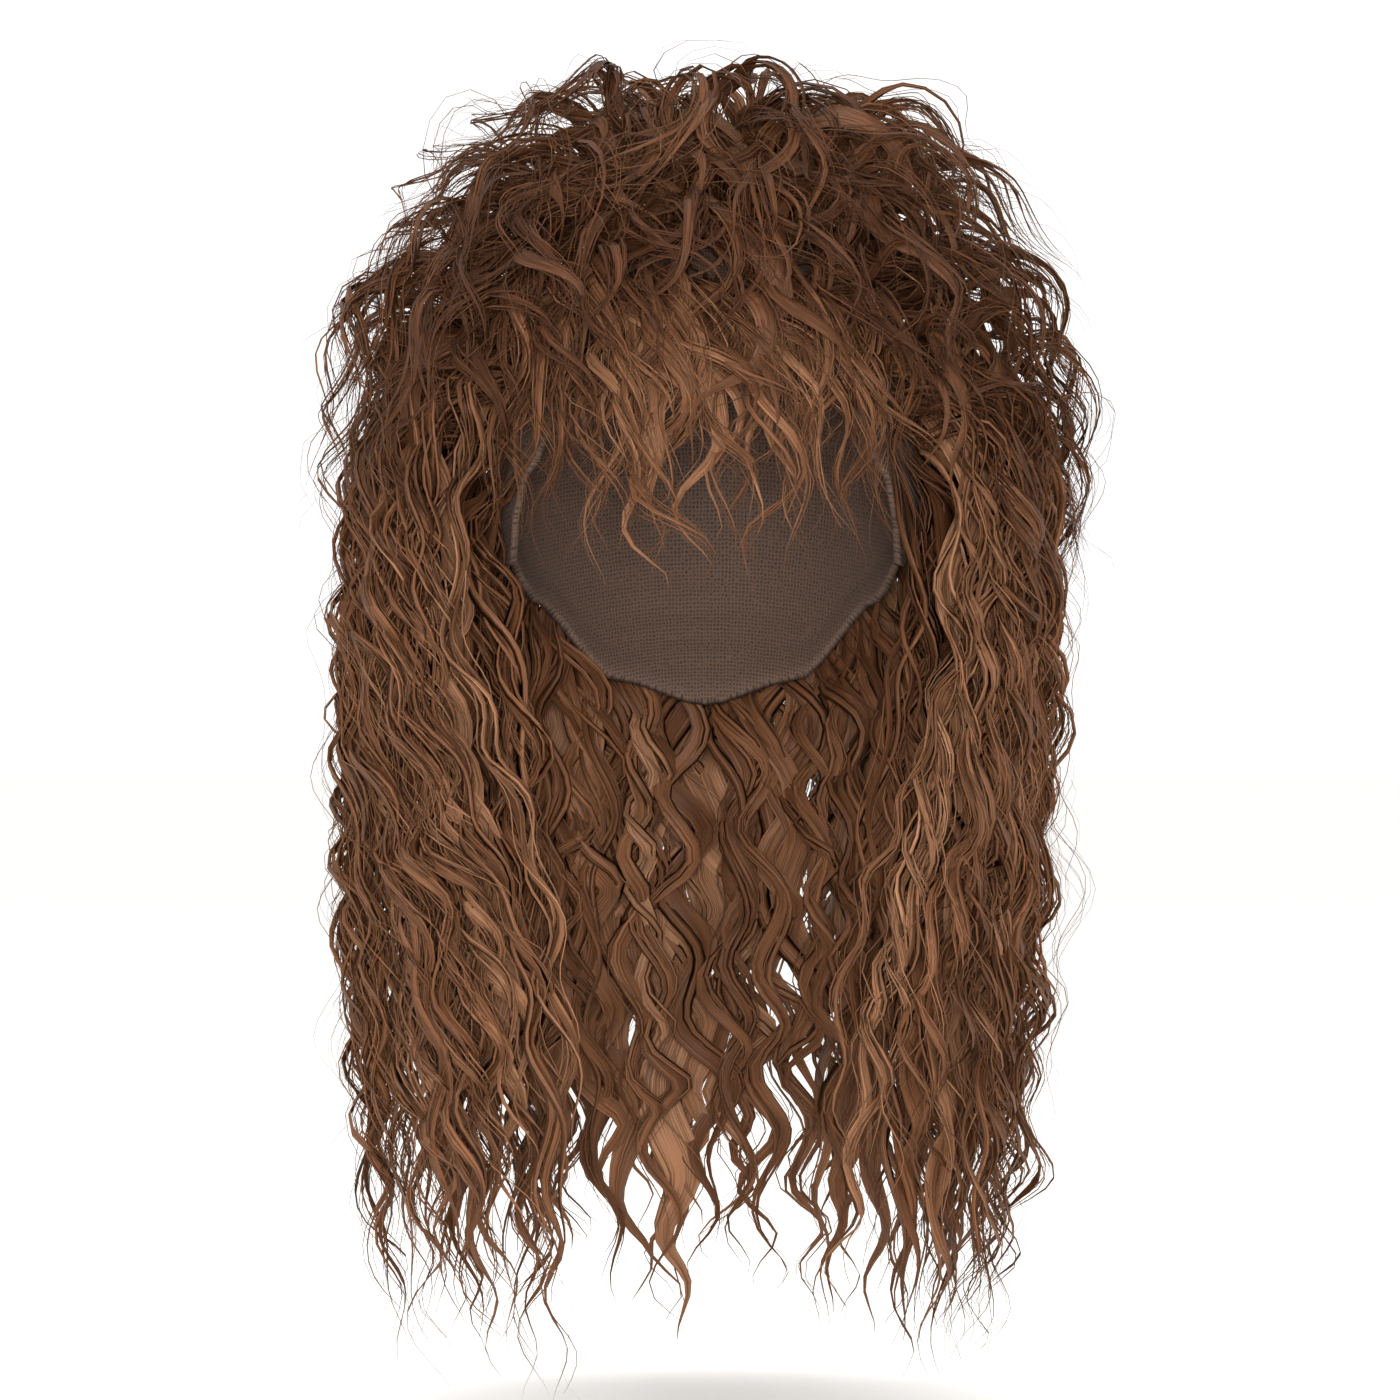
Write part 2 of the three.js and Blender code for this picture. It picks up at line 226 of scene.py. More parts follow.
def lockAxis(row, chance, place):  # one lock: points along its axis with what the strands need to know there
    across = blend(row["inset"][0], 1 - row["inset"][1], place + (chance.random() - 0.5) / row["count"])
    if row["frontBias"]:  # locks crowd to the middle of the row, or away from it below 0
        across = 2 * across - 1
        across = 0.5 + 0.5 * across * (1 - row["frontBias"] * (1 - across * across))
    share = blend(*row["depthShare"], 1 - chance.random() ** row["outerBias"])
    rootAzimuth = blend(*row["azimuth"], across)
    tipAzimuth = blend(*row["tipAzimuth"], across)
    fromFront = (rootAzimuth + 180) % 360 - 180
    atFront = 1 - float(smoothstep(abs(fromFront), *growth["front"]))
    lowest = min(row["top"] + row["rootSpread"], float(capEdge(fromFront)) - growth["edgeGap"])
    root = blend(row["top"], lowest, chance.random() ** growth["rootBias"])
    if row["tips"]:  # grown out to a level
        tip = blend(*row["tips"], chance.random() ** row["longBias"])
    else:  # cut in layers to a length of its own, and shorter at the front
        tip = root + chance.uniform(*row["lengths"])
        frontTip = row["frontTip"] + chance.normal(0, growth["frontTipScatter"])
        tip = min(tip, frontTip + growth["sideTipDrop"] * (1 - atFront))
    tip = max(tip, root + growth["shortest"])
    level = np.linspace(root, tip, growth["samples"])
    free = (level - root) / (tip - root)

    sway = 2 * math.pi * (chance.random() + free * chance.uniform(*growth["meanderTurns"]))
    stray = row["meander"] * np.sin(sway)
    stray = (stray + chance.normal(0, row["sweep"]) * free) * smoothstep(free, 0, growth["strayShare"])
    azimuth = row["side"] * blend(rootAzimuth, tipAzimuth, smoothstep(level, *growth["driftLevels"]))
    inner, outer = smoothTable(np.array(row["profile"], float), level - row["top"])
    depth = blend(inner, outer, share)
    rise = row["rise"] * chance.uniform(*growth["riseScatter"])
    rise = rise * blend(growth["crownRise"], 1, min(1, root / growth["crownLevels"]))
    depth = depth * smoothstep(level, root, root + rise) + growth["leastDepth"]
    thickness = np.linalg.norm(hairPoint(azimuth, level, 1) - hairPoint(azimuth, level, 0), axis=1)
    depth = depth + row["flick"] * mm / thickness * chance.random() * free ** growth["flickPower"]
    radius = np.linalg.norm(hairPoint(azimuth, level, depth)[:, :2], axis=1)
    azimuth = azimuth + np.degrees(stray * mm / np.maximum(radius, growth["leastRadius"] * mm))

    run = runAlong(hairPoint(azimuth, level, depth))
    calm = smoothstep(run, 0, curl["calm"] * mm)
    room = curl["flatness"] * calm * (curl["swing"] + curl["spread"]) + curl["clearance"]
    depth = np.maximum(depth, room * mm / thickness)  # never through the cap

    centre = hairPoint(azimuth, level, depth)
    run = runAlong(centre)
    count = max(growth["leastPoints"], int(round(run[-1] / (row["step"] * mm))) + 1)
    even = np.linspace(0, run[-1], count)

    def resample(values):
        return np.stack([np.interp(even, run, values[:, k]) for k in range(3)], -1)

    points = resample(centre)
    for _ in range(curl["soften"]):
        points[1:-1] = (points[:-2] + 2 * points[1:-1] + points[2:]) / 4
    tangent = unit(np.gradient(points, axis=0))
    away = unit(resample(hairPoint(azimuth, level, depth + growth["probe"]) - centre))
    down = resample(hairPoint(azimuth, level + growth["probe"], depth) - centre)
    down = unit(down - away * dot(down, away))
    rising, falling, sideways = dot(tangent, away), dot(tangent, down), dot(tangent, np.cross(away, down))
    outWay = away * (falling + np.abs(sideways)) - down * rising  # turns with a lock that rises from the cap
    outWay = unit(outWay - tangent * dot(outWay, tangent))

    wave = blend(curl["rootWave"], curl["tipWave"], smoothstep(even, *(mm * x for x in curl["waveChange"])))
    wave = wave * row["waveScale"] * chance.uniform(*curl["waveScatter"])
    drift = np.sin(2 * math.pi * (even / (curl["waveDriftRun"] * mm) + chance.random()))
    wave = wave * (1 + curl["waveDrift"] * drift)
    turns = np.concatenate(([0], np.cumsum(np.diff(even) / (wave[1:] * mm))))
    ease = smoothstep(even, 0, curl["calm"] * mm)
    drift = np.sin(2 * math.pi * (even / (curl["swingDriftRun"] * mm) + chance.random()))
    swell = 1 + curl["swingDrift"] * drift
    swing = curl["swing"] * row["swingScale"] * chance.uniform(*curl["swingScatter"])
    swing = swing * ease * swell * wave / curl["tipWave"]
    fromTip = smoothstep(run[-1] - even, 0, curl["taper"] * mm)
    taper = blend(curl["rootSpread"], 1, ease) * blend(curl["tipSpread"], 1, fromTip)
    spread = curl["spread"] * row["spreadScale"] * chance.uniform(*curl["spreadScatter"]) * taper
    tone = row["tone"] + row["toneShift"] + chance.normal(0, row["toneScatter"])
    # painted light: deep hair paler, and painted sheen: hair paler away from the front
    tone += row["paintedDeepLight"] * (growth["evenDepth"] - share) + row["paintedSideSheen"] * (1 - atFront)
    lean = row["lean"] * chance.uniform(-1, 1)
    same = {"tone": tone, "length": run[-1], "bare": row["bare"] * mm, "lean": lean}
    same.update({key: row[key] for key in ("wisps", "bodies", "gauge", "girth")})
    return {
        "position": points, "out": outWay, "side": np.cross(tangent, outWay), "along": even / run[-1],
        "phase": 2 * math.pi * (turns + chance.random()), "swing": mm * swing, "spread": mm * spread,
        **{key: np.full(count, float(value)) for key, value in same.items()},
    }


def guideMesh(name, axes):  # all lock axes of a row as edge chains
    mesh = bpy.data.meshes.new(name)
    starts = np.cumsum([0] + [len(a["along"]) for a in axes])
    edges = [(i, i + 1) for a, b in zip(starts, starts[1:]) for i in range(a, b - 1)]
    mesh.from_pydata(np.concatenate([a["position"] for a in axes]).tolist(), edges, [])
    for key in guideWays:
        layer = mesh.attributes.new(key, "FLOAT_VECTOR", "POINT")
        layer.data.foreach_set("vector", np.concatenate([a[key] for a in axes]).ravel())
    for key in guideNumbers:
        layer = mesh.attributes.new(key, "FLOAT", "POINT")
        layer.data.foreach_set("value", np.concatenate([a[key] for a in axes]))
    return mesh


# what the node tree takes, in metres and radians; a lock's body is its core and the clumps beside it
overhang = 9 * mm  # loose hair outside the solids' box
strandSettings = {
    "Wisp Radius": 0.38 * mm,
    "Wisp Flatness": 0.45,
    "Core Share": 0.55,  # of the lock's spread
    "Clump Share": 0.36,
    "Clump Hold": 0.6,  # share of their straying that clumps are kept from
    "Core Flatness": 0.24,
    "Wisp Taper": 45 * mm,
    "Body Taper": 70 * mm,
    "Root Taper": 16 * mm,
    "Turn Scatter": 2.0,  # how far flat sections turn
    "Flatness": curl["flatness"],
    "Phase Scatter": 1.0,  # between the waves of one lock
    "Swing Scatter": 0.4,
    "Length Scatter": 0.25,
    "Twist": 0.35,  # of a strand about its lock, for each turn of the wave
    "Frizz": 14 * mm,
    "Frizz Scale": 30.0,
    "Tone Scatter": 0.08,
    # painted shade: a lock's core and clumps a little darker than its wisps, for the depth inside the lock
    "Body Tone": -0.04,
    "Low Corner": [c - overhang for c in cadBox[0]],
    "High Corner": [c + overhang for c in cadBox[1]],
}
vectorInputs = ("Low Corner", "High Corner")  # the others are numbers
# how a strand thins, strays and lies on the palette
strandShape = {
    "wispTip": 0.12,  # share of the width at the tip
    "bodyTip": 0.03,
    "bodyRoot": 0.1,  # and at the root
    "thinner": 0.6,  # share by which the finest wisps are thinner
    "thinPower": 4.0,  # few are that fine
    "leastFrizz": 0.35,
    "mostFrizz": 3.0,
    "frizzPower": 6.0,  # few stray that far
    "apart": 100.0,  # sets each strand's frizz apart from the next
    "crispEdge": 0.02,  # of the way round
    "toneLimits": (0.02, 0.85),
    "clumpGirth": 0.5,  # of the core's
    "wispGirth": 0.012,
    "paletteRun": 0.96,  # from root to tip
}


# Geometry Nodes: each edge chain of a guide mesh is the axis of a lock, and becomes a bundle of waved strands
def buildStrandTree():
    tree = bpy.data.node_groups.new("curledStrands", "GeometryNodeTree")
    sockets = {"Guides": "NodeSocketGeometry"}
    for name in strandSettings:
        sockets[name] = "NodeSocketVector" if name in vectorInputs else "NodeSocketFloat"
    sockets.update({"Seed": "NodeSocketInt", "Material": "NodeSocketMaterial"})
    for name, kind in sockets.items():
        tree.interface.new_socket(name=name, in_out="INPUT", socket_type=kind)
    tree.interface.new_socket(name="Hair", in_out="OUTPUT", socket_type="NodeSocketGeometry")
    given = addNode(tree, "NodeGroupInput").outputs

    def add(kind, *inputs, output=0, **settings):  # a node of this tree, as its output
        return addNode(tree, kind, *inputs, **settings).outputs[output]

    chances = ("strandPlace", "strandForm", "strandLook")  # three random numbers each
    fields = [(name, "FLOAT") for name in guideNumbers + ("body", "core", "ring")]
    fields += [(name, "FLOAT_VECTOR") for name in guideWays + chances]
    read = {}
    for name, kind in fields:
        read[name] = add("GeometryNodeInputNamedAttribute", {"Name": name}, output="Attribute",
                         data_type=kind)

    # the first copy is a lock's core, the next few are clumps beside it, and the others are wisps round them
    axes = add("GeometryNodeMeshToCurve", {"Mesh": given["Guides"]})
    amount = add("+", add("+", read["wisps"], read["bodies"]), 0.1)  # rounded down
    copies = addNode(tree, "GeometryNodeDuplicateElements", {"Geometry": axes, "Amount": amount},
                     domain="SPLINE")
    number = add("+", copies.outputs["Duplicate Index"], 0.5)
    marks = [
        ("body", "FLOAT", add("<", number, read["bodies"])),
        ("core", "FLOAT", add("<", number, add("min", read["bodies"], 1.0))),
    ]
    for shift, name in enumerate(chances):
        seed = add("+", given["Seed"], float(shift))
        value = add("FunctionNodeRandomValue", {"Seed": seed}, data_type="FLOAT_VECTOR")
        marks.append((name, "FLOAT_VECTOR", value))
    flow = copies.outputs["Geometry"]
    for name, kind, value in marks:
        flow = add("GeometryNodeStoreNamedAttribute", {"Geometry": flow, "Name": name, "Value": value},
                   data_type=kind, domain="CURVE")

    place, form, look = (addNode(tree, "ShaderNodeSeparateXYZ", read[name]).outputs for name in chances)
    along, body, core, length = read["along"], read["body"], read["core"], read["length"]
    loose = add("-", 1.0, core)
    wispy = add("-", 1.0, body)
    roam = add("*", loose, add("-", 1.0, add("*", body, given["Clump Hold"])))

    # shorter strands lose the points past their end, and wisps those near the root that the lock's body hides
    end = add("-", 1.0, add("*", add("*", given["Length Scatter"], form[1]), loose))
    past = add(">", along, end)
    bare = add("*", add("*", read["bare"], wispy), add("+", 0.5, place[2]))
    hidden = add("<", add("*", along, length), bare)
    gone = add("max", past, hidden)
    flow = add("GeometryNodeDeleteGeometry", {"Geometry": flow, "Selection": gone}, domain="POINT")

    # the strand's place in the lock turns slowly round the lock's axis
    phase = read["phase"]
    turn = add("+", add("*", place[0], 2 * math.pi), add("*", phase, given["Twist"]))
    reach = add("*", add("*", add("sqrt", place[1]), read["spread"]), loose)
    across = add("*", reach, add("cos", turn))
    outward = add("*", add("*", reach, add("sin", turn)), given["Flatness"])

    # the wave, a flattened helix about the axis
    scatter = add("*", add("*", add("-", place[2], 0.5), given["Phase Scatter"]), loose)
    angle = add("+", phase, scatter)
    gain = add("+", 1.0, add("*", add("-", form[0], 0.5), given["Swing Scatter"]))
    swing = add("*", read["swing"], gain)
    across = add("+", across, add("*", swing, add("cos", angle)))
    outward = add("+", outward, add("*", add("*", swing, add("sin", angle)), given["Flatness"]))
    across = add("ShaderNodeVectorMath", {0: read["side"], "Scale": across}, operation="SCALE")
    outward = add("ShaderNodeVectorMath", {0: read["out"], "Scale": outward}, operation="SCALE")
    offset = add("ShaderNodeVectorMath", across, outward, operation="ADD")

    # frizz: every strand strays on its own, and a few stray far
    position = add("GeometryNodeInputPosition")
    stray = add("ShaderNodeTexNoise", {
        "Vector": position, "W": add("*", look[0], strandShape["apart"]), "Scale": given["Frizz Scale"],
        "Detail": 0.0}, output="Color", noise_dimensions="4D")
    stray = add("ShaderNodeVectorMath", stray, (0.5, 0.5, 0.5), operation="SUBTRACT")
    wild = add("*", add("power", look[1], strandShape["frizzPower"]), strandShape["mostFrizz"])
    wild = add("+", strandShape["leastFrizz"], wild)
    frizz = add("*", add("*", given["Frizz"], roam), add("*", along, wild))
    stray = add("ShaderNodeVectorMath", {0: stray, "Scale": frizz}, operation="SCALE")
    offset = add("ShaderNodeVectorMath", offset, stray, operation="ADD")
    flow = add("GeometryNodeSetPosition", {"Geometry": flow, "Offset": offset})
    inside = position
    for operation, corner in (("MAXIMUM", "Low Corner"), ("MINIMUM", "High Corner")):
        inside = add("ShaderNodeVectorMath", inside, given[corner], operation=operation)
    flow = add("GeometryNodeSetPosition", {"Geometry": flow, "Position": inside})

    # flat sections lie across the way out of the cap, each turned a little
    lean = add("*", add("*", add("-", look[0], 0.5), given["Turn Scatter"]), roam)
    lean = add("+", lean, read["lean"])
    facing = add("ShaderNodeVectorMath", {0: read["out"], "Scale": add("cos", lean)}, operation="SCALE")
    turned = add("ShaderNodeVectorMath", {0: read["side"], "Scale": add("sin", lean)}, operation="SCALE")
    facing = add("ShaderNodeVectorMath", facing, turned, operation="ADD")
    wide = add("ShaderNodeVectorMath", add("GeometryNodeInputTangent"), facing, operation="CROSS_PRODUCT")
    wide = add("ShaderNodeVectorMath", wide, operation="NORMALIZE")
    flow = add("GeometryNodeSetCurveNormal", {"Curve": flow, "Normal": wide}, mode="FREE")

    # closed sections that thin to the tip: four-sided cores, three-sided clumps and wisps
    left = add("*", add("-", end, along), length)
    thin = add("min", 1.0, add("+", strandShape["wispTip"], add("/", left, given["Wisp Taper"])))
    fine = add("-", 1.0, add("*", add("power", look[1], strandShape["thinPower"]), strandShape["thinner"]))
    width = add("*", given["Wisp Radius"], add("+", 0.5, form[2]))
    width = add("*", add("*", width, read["gauge"]), add("*", thin, fine))
    share = add("+", add("*", core, given["Core Share"]), add("*", loose, given["Clump Share"]))
    toTip = add("min", 1.0, add("+", strandShape["bodyTip"], add("/", left, given["Body Taper"])))
    toRoot = add("+", strandShape["bodyRoot"], add("/", add("*", along, length), given["Root Taper"]))
    bulk = add("*", add("*", read["spread"], share), toTip)
    bulk = add("*", bulk, add("min", 1.0, toRoot))
    width = add("+", add("*", width, wispy), add("*", bulk, body))
    parts = addNode(tree, "GeometryNodeSeparateGeometry", {"Geometry": flow, "Selection": core},
                    domain="CURVE")
    tubes = addNode(tree, "GeometryNodeJoinGeometry")
    for part, sides, flatness, radius in (("Selection", 4, "Core Flatness", bulk),
                                          ("Inverted", 3, "Wisp Flatness", width)):
        section = add("GeometryNodeCurvePrimitiveCircle", {"Resolution": sides, "Radius": 1.0})
        section = add("GeometryNodeTransform", {
            "Geometry": section, "Scale": add("ShaderNodeCombineXYZ", given[flatness], 1.0, 1.0),
            "Rotation": (0.0, 0.0, math.radians(90))})
        section = add("GeometryNodeStoreNamedAttribute", {
            "Geometry": section, "Name": "ring", "Value": add("GeometryNodeSplineParameter", output="Factor"),
        }, data_type="FLOAT", domain="POINT")
        tube = add("GeometryNodeCurveToMesh", {
            "Curve": parts.outputs[part], "Profile Curve": section, "Scale": radius, "Fill Caps": True})
        tree.links.new(tube, tubes.inputs["Geometry"])
    flow = add("GeometryNodeSetShadeSmooth", {"Geometry": tubes.outputs["Geometry"]})
    # a core's two long edges are crisp, so that it shades as a flat band of fibres
    fromEdge = add("abs", add("-", add("abs", add("-", read["ring"], 0.5)), 0.25))
    crisp = add("<", fromEdge, strandShape["crispEdge"])
    flow = add("GeometryNodeSetShadeSmooth", {"Geometry": flow, "Selection": crisp, "Shade Smooth": False},
               domain="EDGE")

    # the palette map: a narrow band of tones for each strand, root to tip
    tone = add("+", read["tone"], add("*", add("-", look[2], 0.5), given["Tone Scatter"]))
    # painted shade on the lock's body
    tone = add("+", tone, add("*", body, given["Body Tone"]))
    tone = add("min", add("max", tone, strandShape["toneLimits"][0]), strandShape["toneLimits"][1])
    girth = add("+", strandShape["clumpGirth"], add("*", core, 1 - strandShape["clumpGirth"]))
    girth = add("*", read["girth"], girth)
    band = add("+", add("*", body, girth), add("*", wispy, strandShape["wispGirth"]))
    ring = add("*", read["ring"], band)
    palette = add("ShaderNodeCombineXYZ", add("+", tone, ring),
                  add("+", add("*", along, strandShape["paletteRun"]), add("*", ring, ring)))
    flow = add("GeometryNodeStoreNamedAttribute", {"Geometry": flow, "Name": "OFBake", "Value": palette},
               data_type="FLOAT2", domain="CORNER")
    flow = add("GeometryNodeRealizeInstances", {"Geometry": flow})
    flow = add("GeometryNodeSetMaterial", {"Geometry": flow, "Material": given["Material"]})
    addNode(tree, "NodeGroupOutput", {"Hair": flow})
    return tree


def plainMesh(carrier, name):  # the evaluated modifiers as a mesh of its own
    graph = bpy.context.evaluated_depsgraph_get()
    mesh = bpy.data.meshes.new_from_object(carrier.evaluated_get(graph), depsgraph=graph)
    bpy.data.objects.remove(carrier)
    mesh.name = name
    keep = {"OFBake", "position", "material_index", "sharp_face", "sharp_edge"}
    for layer in [a.name for a in mesh.attributes if not a.name.startswith(".") and a.name not in keep]:
        mesh.attributes.remove(mesh.attributes[layer])
    return mesh


def settle(piece, node):  # the piece's place in the frame
    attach(piece, "root")
    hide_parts(node)
    piece.data.calc_loop_triangles()
    print(piece.name, len(piece.data.loop_triangles), "triangles")
    return len(piece.data.loop_triangles)


def growRow(row, tree, material):
    chance = np.random.default_rng(row["seed"])
    axes = []
    for layer, count in row["layers"].items():
        lock = {**row, **layerStyles[layer], **row["styles"].get(layer, {}), "count": count}
        for style in ("spreadScale", "swingScale", "flick"):
            lock[style] *= row[style]
        axes += [lockAxis(lock, chance, (i + 0.5) / count) for i in range(count)]
    carrier = linkObject(row["piece"] + "Guides", guideMesh(row["piece"] + "Guides", axes))
    modifier = carrier.modifiers.new("strands", "NODES")
    modifier.node_group = tree
    values = dict(strandSettings, Seed=row["seed"], Material=material)
    for socket in tree.interface.items_tree:
        if socket.in_out == "INPUT" and socket.name in values:
            modifier[socket.identifier] = values[socket.name]
    piece = linkObject(row["piece"], plainMesh(carrier, row["piece"]))
    return settle(piece, row["node"])


# what each row is layered from: low bands that cover the cap, wide bands that close the row, locks, and
# single hairs that stray; girth: the palette's share round a core, gauge: a wisp's thickness, lean: a core's
# turn out of the row
layerStyles = {
    "under": {"wisps": 1, "bodies": 1, "spreadScale": 3.2, "swingScale": 0.6, "depthShare": (0.0, 0.2),
              "flick": 0, "girth": 0.14, "toneShift": -0.02, "lean": 0.2, "rootSpread": 0.5, "sweep": 4,
              "lengths": (2.0, 2.8)},
    "mass": {"wisps": 2, "bodies": 1, "spreadScale": 2.7, "swingScale": 0.8, "depthShare": (0.05, 0.5),
             "flick": 0, "girth": 0.12, "lean": 0.8},
    "locks": {"wisps": 5, "bodies": 3, "spreadScale": 1.0, "swingScale": 1.0, "depthShare": (0.35, 1.0),
              "flick": 9, "girth": 0.06, "lean": 0.35},
    "strays": {"wisps": 3, "bodies": 0, "spreadScale": 2.0, "swingScale": 1.3, "depthShare": (0.85, 1.1),
               "flick": 14, "girth": 0.06, "gauge": 0.5, "toneShift": 0.14, "lean": 0.0},
}
# profiles: levels below the row's top, depth of its inner face, depth of its outer face
underProfile = ((0, 0.004, 0.08), (0.2, 0.004, 0.1), (0.9, 0.03, 0.31), (2, 0.03, 0.31), (3.4, 0.04, 0.5))
outerProfile = ((0, 0.004, 0.1), (0.2, 0.01, 0.2), (0.8, 0.35, 0.7), (1.8, 0.4, 0.86), (3.0, 0.5, 0.93))
leftProfile = ((0, 0.004, 0.1), (0.2, 0.01, 0.2), (0.8, 0.35, 0.7), (1.8, 0.4, 0.83), (3.0, 0.48, 0.84))
crownProfile = ((0, 0.25, 1), (1, 0.3, 1.02), (2.2, 0.4, 0.98), (4, 0.5, 0.92))
topProfile = ((0, 0.3, 1.1), (1, 0.4, 1.12), (2.6, 0.6, 1.02))
fringeProfile = ((0, 0.004, 0.1), (0.2, 0.01, 0.2), (0.6, 0.12, 0.54))
# lengths on the surface in mm, heights in levels; inset: share kept free at the front and the back of a row,
# paintedDeepLight: painted light, hair deep in a row coloured paler for the light that scatters between
# fibres,
# paintedSideSheen: painted sheen, hair coloured paler away from the front, where light catches the sides
rowDefaults = {
    "slot": "hair_length", "side": 1, "step": 5.5, "rootSpread": 0.4, "rise": 0.7, "tips": None,
    "outerBias": 1.3, "longBias": 0.4, "frontBias": 0.0, "inset": (0.0, 0.0), "meander": 6, "sweep": 8,
    "waveScale": 1.0, "swingScale": 1.0, "spreadScale": 1.0, "gauge": 1.0, "flick": 1.0, "bare": 60,
    "tone": 0.385, "toneShift": 0.0, "toneScatter": 0.04, "paintedDeepLight": 0.26, "paintedSideSheen": 0.0, "styles": {},
}
seenFromInside = {
    "mass": {"spreadScale": 1.9, "depthShare": (0.6, 1.0), "bodies": 2},
    # painted shade: locks seen from inside are darker, for the shade inside the wig
    "locks": {"depthShare": (0.0, 0.7), "toneShift": -0.1, "wisps": 3},
}
heldFromEdge = {
    # painted shade: the side rows' wide bands are darker, so that they read as shaded gaps between the locks
    "mass": {"inset": (0.15, 0.0), "toneShift": -0.07, "spreadScale": 2.1, "depthShare": (0.0, 0.35)},
}
# painted shade: the rows under the outer hair have a darker tone, for the shade inside the wig
sideUnder = {
    "azimuth": (55, 116), "tipAzimuth": (42, 109), "top": 3.6, "profile": underProfile,
    "layers": {"mass": 9, "locks": 13}, "tone": 0.32, "styles": seenFromInside,
}
sideOuter = {
    "azimuth": (49, 115), "tipAzimuth": (27, 108), "top": 2.75, "rootSpread": 0.7,
    "layers": {"mass": 18, "locks": 54, "strays": 16}, "step": 5.2, "bare": 80, "styles": heldFromEdge,
}
# painted shade: the crown's front and top rows have darker tones, for the top of the head, where less light
# falls
tousled = {"slot": "hair_crown", "meander": 8, "waveScale": 1.2}
rows = [
    # painted shade: the nape row's darker tone stands for the shade inside the wig
    {"piece": "napeHair", "node": "nape_weft", "seed": 11, "azimuth": (120, 240), "tipAzimuth": (108, 252),
     "top": 4.6, "tips": (7.6, 9.8), "profile": underProfile, "layers": {"mass": 16, "locks": 20}, "bare": 20,
     "tone": 0.3, "styles": seenFromInside},
    {**sideUnder, "piece": "sideUnderHairLeft", "node": "side_under_left", "seed": 12, "tips": (7.4, 9.9)},
    {**sideUnder, "piece": "sideUnderHairRight", "node": "side_under_right", "seed": 13, "tips": (7.4, 10.0),
     "side": -1},
    {"piece": "backHair", "node": "back_weft", "seed": 14, "azimuth": (118, 242), "tipAzimuth": (108, 252),
     "top": 3.0, "tips": (6.4, 9.9), "profile": outerProfile, "paintedDeepLight": 0.14,
     "layers": {"mass": 18, "locks": 48, "strays": 10},
     "styles": {"mass": {"spreadScale": 3.3}, "locks": {"wisps": 4}}},
    {**sideOuter, "piece": "sideHairLeft", "node": "side_weft_left", "seed": 15, "tips": (5.4, 9.9),
     "profile": leftProfile},
    {**sideOuter, "piece": "sideHairRight", "node": "side_weft_right", "seed": 16, "tips": (5.4, 10.0),
     "profile": outerProfile, "side": -1},
    {**tousled, "piece": "crownHairFront", "node": "crown_weft", "seed": 17, "azimuth": (-95, 95),
     "tipAzimuth": (-95, 95), "top": 1.0, "rootSpread": 2.4, "lengths": (1.2, 2.7), "frontTip": 3.9,
     "profile": crownProfile, "layers": {"mass": 44, "locks": 128, "strays": 26}, "step": 4.7, "sweep": 15,
     "spreadScale": 0.8, "flick": 1.5, "bare": 15, "tone": 0.075, "paintedDeepLight": 0.06, "paintedSideSheen": 0.13,
     "styles": {"mass": {"frontBias": -0.5, "depthShare": (0.1, 0.6)}}},
    {**tousled, "piece": "crownHairBack", "node": "crown_weft", "seed": 20, "azimuth": (85, 275),
     "tipAzimuth": (85, 275), "top": 1.0, "rootSpread": 2.8, "lengths": (1.3, 2.9), "frontTip": 9.0,
     "profile": crownProfile, "layers": {"under": 30, "mass": 26, "locks": 84, "strays": 14}, "sweep": 15,
     "spreadScale": 0.9, "flick": 1.5, "bare": 20, "tone": 0.25, "paintedDeepLight": 0.08,
     "styles": {"under": {"lengths": (2.6, 3.6)}, "mass": {"depthShare": (0.15, 0.75)}}},
    {**tousled, "piece": "topHair", "node": "crown_top", "seed": 18, "azimuth": (-180, 180),
     "tipAzimuth": (-180, 180), "top": 0.08, "rootSpread": 1.55, "rise": 0.5, "lengths": (1.1, 2.2),
     "frontTip": 3.4, "profile": topProfile, "layers": {"under": 22, "mass": 36, "locks": 112, "strays": 32},
     "step": 4.7, "sweep": 16, "frontBias": 0.15, "spreadScale": 0.8, "flick": 0.9, "bare": 10, "tone": 0.16,
     "paintedDeepLight": 0.06, "paintedSideSheen": 0.11, "styles": {"mass": {"depthShare": (0.1, 0.6)}}},
    {"piece": "fringeHair", "node": "fringe", "slot": "hair_fringe", "seed": 19, "azimuth": (-46, 46),
     "tipAzimuth": (-46, 46), "top": 2.0, "rootSpread": 0.5, "rise": 0.4, "tips": (3.5, 5.0),
     "longBias": 0.65, "profile": fringeProfile, "layers": {"mass": 16, "locks": 76, "strays": 14},
     "waveScale": 1.15, "spreadScale": 0.85, "bare": 0, "tone": 0.31, "paintedDeepLight": 0.14,
     "styles": {"mass": {"spreadScale": 1.8, "inset": (0.03, 0.03)}}},
]

